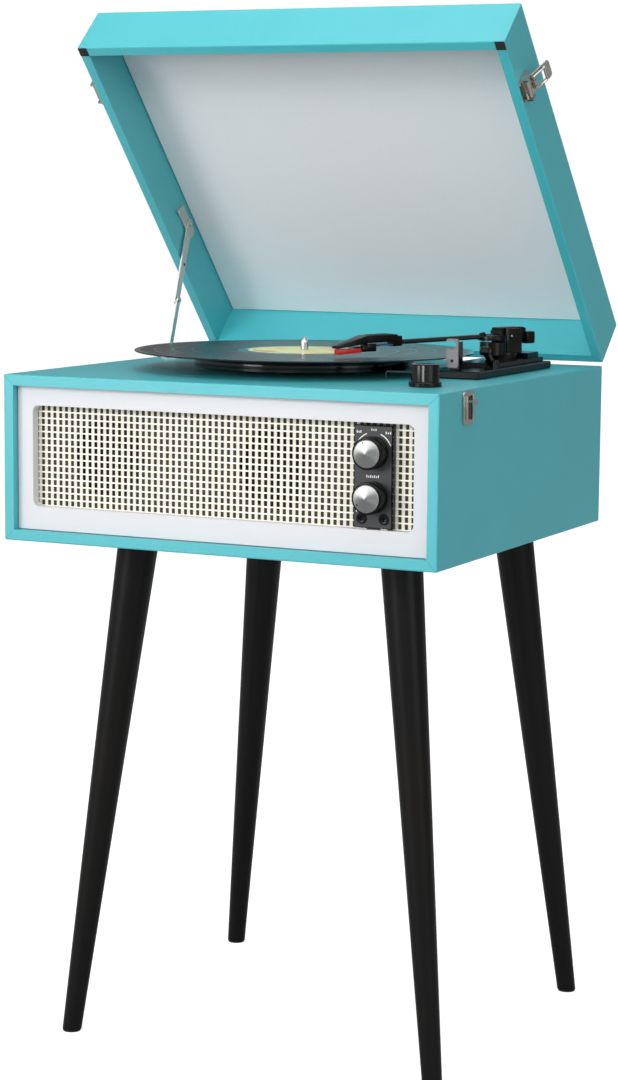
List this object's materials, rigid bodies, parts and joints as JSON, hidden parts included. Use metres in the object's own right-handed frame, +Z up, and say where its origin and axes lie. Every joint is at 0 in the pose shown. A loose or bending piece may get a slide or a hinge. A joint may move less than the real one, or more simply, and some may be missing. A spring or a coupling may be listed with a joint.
{
  "type": "suitcase record player on legs",
  "caption": "Suitcase record player on splayed tapered legs: a wrapped case with a front grille and controls, a belt-driven platter, a tonearm and a lid on a folding stay.",
  "frame": {"origin": "on the floor under the middle of the outline with the lid open", "axes": "+Z up; the front with the grille and the controls faces -Y; +X is to the right seen from the front"},
  "size_m": [0.4376, 0.4193, 0.9089],
  "materials": {
    "turquoise_leatherette": "turquoise grained leatherette wrapped over board",
    "white_panel": "white satin laminate on board",
    "grille_cloth": "open woven cream grille cloth",
    "lining": "pale grey embossed lining sheet",
    "raw_board": "raw fibreboard",
    "black_plastic": "black, glossy to satin",
    "grey_plastic": "dark grey, satin",
    "red_plastic": "translucent red",
    "circuit_board": "green circuit board with black parts",
    "speaker_cone": "black paper cone in a black frame",
    "steel": "plain steel",
    "nickel": "nickel plate",
    "brass": "turned brass",
    "arm_tube": "dark satin tube",
    "vinyl": "black grooved vinyl",
    "rubber": "black rubber",
    "black_legs": "black lacquered turned wood"
  },
  "bodies": {
    "case": {"case_shell": "turquoise_leatherette", "back_panel": "black_plastic", "rear_sockets": "black_plastic", "front_panel": "white_panel", "grille_cloth": "grille_cloth", "baffle_board": "raw_board", "speaker_left": "speaker_cone", "speaker_right": "speaker_cone", "control_plate": "black_plastic", "amplifier_board": "circuit_board", "headphone_jack": "nickel", "aux_jack": "nickel", "motor": "steel", "platter_bearing": "brass", "drive_belt": "rubber", "arm_base": "black_plastic", "arm_rest_post": "black_plastic", "hinge_case_leaf_left": "nickel", "hinge_case_leaf_right": "nickel", "stay_case_bracket": "nickel", "catch_plate_left": "nickel", "catch_plate_right": "nickel", "leg_plate_front_left": "steel", "leg_plate_front_right": "steel", "leg_plate_back_left": "steel", "leg_plate_back_right": "steel", "leg_front_left": "black_legs", "leg_front_right": "black_legs", "leg_back_left": "black_legs", "leg_back_right": "black_legs"},
    "lid": {"lid_shell": "turquoise_leatherette", "lid_lining": "lining", "hinge_lid_leaf_left": "nickel", "hinge_lid_leaf_right": "nickel", "stay_lid_bracket": "nickel", "latch_plate_left": "nickel", "latch_plate_right": "nickel"},
    "platter": {"platter": "black_plastic", "slipmat": "rubber", "record": "vinyl", "spindle": "steel"},
    "motor_pulley": {"motor_pulley": "brass"},
    "function_knob": {"function_knob": "black_plastic"},
    "volume_knob": {"volume_knob": "black_plastic"},
    "speed_knob": {"speed_knob": "black_plastic", "speed_lever": "steel"},
    "arm_turret": {"arm_yoke": "black_plastic"},
    "tonearm": {"arm_block": "black_plastic", "arm_tube": "arm_tube", "headshell": "black_plastic", "cartridge": "black_plastic", "stylus": "red_plastic"},
    "cue_lever": {"cue_lever": "black_plastic"},
    "arm_rest_clip": {"arm_rest_clip": "grey_plastic"},
    "stay_upper_arm": {"stay_upper_arm": "nickel"},
    "stay_lower_arm": {"stay_lower_arm": "nickel"},
    "latch_lever_left": {"latch_lever_left": "nickel"},
    "latch_lever_right": {"latch_lever_right": "nickel"},
    "latch_bail_left": {"latch_bail_left": "nickel"},
    "latch_bail_right": {"latch_bail_right": "nickel"}
  },
  "joints": [
    {"name": "lid_hinge", "type": "hinge", "parent": "case", "child": "lid", "pos_m": [0, 0.17506, 0.5965], "axis": [-1, 0, 0], "range_deg": [-47.6, 0]},
    {"name": "platter_spin", "type": "hinge", "parent": "case", "child": "platter", "pos_m": [-0.0085, -0.01544, 0.606], "axis": [0, 0, -1], "continuous": true},
    {"name": "pulley_spin", "type": "hinge", "parent": "case", "child": "motor_pulley", "pos_m": [-0.06747, 0.04354, 0.604], "axis": [0, 0, -1], "continuous": true},
    {"name": "function_turn", "type": "hinge", "parent": "case", "child": "function_knob", "pos_m": [0.1415, -0.19343, 0.5455], "axis": [0, -1, 0], "range_deg": [-40, 40]},
    {"name": "volume_turn", "type": "hinge", "parent": "case", "child": "volume_knob", "pos_m": [0.1415, -0.19343, 0.5092], "axis": [0, -1, 0], "range_deg": [-150, 150]},
    {"name": "speed_turn", "type": "hinge", "parent": "case", "child": "speed_knob", "pos_m": [0.163, -0.14044, 0.596], "axis": [0, 0, 1], "range_deg": [0, 60]},
    {"name": "arm_swing", "type": "hinge", "parent": "case", "child": "arm_turret", "pos_m": [0.148, 0.06656, 0.616], "axis": [0, 0, -1], "range_deg": [-28.3, 14.7]},
    {"name": "arm_lift", "type": "hinge", "parent": "arm_turret", "child": "tonearm", "pos_m": [0.148, 0.06656, 0.6273], "axis": [-0.8721, 0.4894, 0], "range_deg": [-0.4, 8]},
    {"name": "cue_turn", "type": "hinge", "parent": "case", "child": "cue_lever", "pos_m": [0.1672, -0.00743, 0.6073], "axis": [-1, 0, 0], "range_deg": [-2.5, 50]},
    {"name": "clip_swing", "type": "hinge", "parent": "case", "child": "arm_rest_clip", "pos_m": [0.14618, -0.04292, 0.611], "axis": [0, 1, 0], "range_deg": [0, 30]},
    {"name": "stay_upper_pivot", "type": "hinge", "parent": "lid", "child": "stay_upper_arm", "pos_m": [-0.1935, 0.10726, 0.7201], "axis": [-1, 0, 0], "range_deg": [-52.53, 0]},
    {"name": "stay_lower_pivot", "type": "hinge", "parent": "case", "child": "stay_lower_arm", "pos_m": [-0.1915, 0.06537, 0.602], "axis": [-1, 0, 0], "range_deg": [0, 52.52]},
    {"name": "latch_left_turn", "type": "hinge", "parent": "lid", "child": "latch_lever_left", "pos_m": [-0.2082, -0.03545, 0.83964], "axis": [0, 0.6743, -0.7385], "range_deg": [-155, 0]},
    {"name": "bail_left_turn", "type": "hinge", "parent": "latch_lever_left", "child": "latch_bail_left", "pos_m": [-0.21116, -0.03076, 0.84392], "axis": [0, -0.6743, 0.7385], "range_deg": [0, 40]},
    {"name": "latch_right_turn", "type": "hinge", "parent": "lid", "child": "latch_lever_right", "pos_m": [0.2082, -0.03545, 0.83964], "axis": [0, -0.6743, 0.7385], "range_deg": [-155, 0]},
    {"name": "bail_right_turn", "type": "hinge", "parent": "latch_lever_right", "child": "latch_bail_right", "pos_m": [0.21116, -0.03076, 0.84392], "axis": [0, 0.6743, -0.7385], "range_deg": [0, 40]}
  ],
  "couplings": [
    {"joint": "pulley_spin", "follows": "platter_spin", "ratio": 16},
    {"joint": "cue_turn", "follows": "arm_lift", "ratio": 6.25},
    {"joint": "stay_upper_pivot", "follows": "lid_hinge", "ratio": 1.1025},
    {"joint": "stay_lower_pivot", "follows": "lid_hinge", "ratio": -1.1024}
  ]
}
